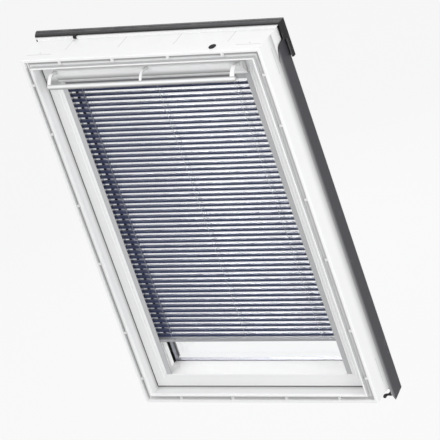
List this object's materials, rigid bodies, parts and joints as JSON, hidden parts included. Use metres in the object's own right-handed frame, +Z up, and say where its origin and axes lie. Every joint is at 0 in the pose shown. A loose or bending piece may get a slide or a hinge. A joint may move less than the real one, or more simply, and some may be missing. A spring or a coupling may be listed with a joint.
{
  "type": "roof window with venetian blind",
  "caption": "White centre-pivot roof window with a top control bar, double glazing, dark outside covers and a dark blue venetian blind lowered inside the sash.",
  "frame": {"origin": "middle of the flat outer face of the frame's bottom member", "axes": "+Z up the slope of the roof, +Y from the room to the outside, +X to the right seen from the room"},
  "size_m": [0.81, 0.1791, 1.2445],
  "materials": {
    "white_moulding": "satin",
    "dark_cladding": "satin",
    "black_rubber": "matte",
    "zinc_steel": "satin",
    "grey_channel": "satin",
    "slat_paint": "satin",
    "clear_glass": "polished",
    "filter_foam": "matte",
    "spacer_metal": "satin"
  },
  "bodies": {
    "frame": {"frame_top": "white_moulding", "frame_bottom": "white_moulding", "frame_left": "white_moulding", "frame_right": "white_moulding", "side_cladding_left": "dark_cladding", "side_cladding_right": "dark_cladding", "top_hood": "dark_cladding", "bottom_sill": "dark_cladding", "apron_seal": "black_rubber", "cable_plug": "black_rubber", "hood_buffer": "black_rubber", "frame_seal": "black_rubber", "striker_plate": "zinc_steel", "pivot_plate_left": "zinc_steel", "pivot_plate_right": "zinc_steel"},
    "sash": {"sash_top": "white_moulding", "sash_bottom": "white_moulding", "sash_left": "white_moulding", "sash_right": "white_moulding", "flap_hinge_rail": "white_moulding", "sash_cover_top": "dark_cladding", "sash_cover_bottom": "dark_cladding", "sash_cover_left": "dark_cladding", "sash_cover_right": "dark_cladding", "glazing_tape": "black_rubber", "pivot_socket_left": "zinc_steel", "pivot_socket_right": "zinc_steel", "lock_case": "zinc_steel", "headrail_bracket_left": "zinc_steel", "headrail_bracket_right": "zinc_steel", "headrail": "grey_channel", "headrail_cap_left": "grey_channel", "headrail_cap_right": "grey_channel", "side_channel_left": "grey_channel", "side_channel_right": "grey_channel", "slat_curtain": "slat_paint", "inner_pane": "clear_glass", "outer_pane": "clear_glass", "vent_filter": "filter_foam", "glass_spacer": "spacer_metal"},
    "control_bar": {"control_bar": "white_moulding", "bar_arm_left": "white_moulding", "bar_arm_centre": "white_moulding", "bar_arm_right": "white_moulding", "vent_flap": "white_moulding"},
    "lock_bolt": {"lock_bolt": "zinc_steel"},
    "bottom_rail": {"bottom_rail": "grey_channel", "bottom_rail_cap_left": "grey_channel", "bottom_rail_cap_right": "grey_channel"}
  },
  "joints": [
    {"name": "sash_pivot", "type": "hinge", "parent": "frame", "child": "sash", "pos_m": [0, 0.0246, 0.589], "axis": [1, 0, 0], "range_deg": [0, 180]},
    {"name": "bar_hinge", "type": "hinge", "parent": "sash", "child": "control_bar", "pos_m": [0, -0.008, 1.09], "axis": [1, 0, 0], "range_deg": [0, 45]},
    {"name": "bolt_slide", "type": "slide", "parent": "sash", "child": "lock_bolt", "axis": [0, 0, -1], "range_m": [0, 0.01]},
    {"name": "rail_slide", "type": "slide", "parent": "sash", "child": "bottom_rail", "axis": [0, 0, 1], "range_m": [0, 0.8], "deforming": ["slat_curtain"]}
  ],
  "couplings": [
    {"joint": "bolt_slide", "follows": "bar_hinge", "m_per_rad": 0.012732}
  ]
}
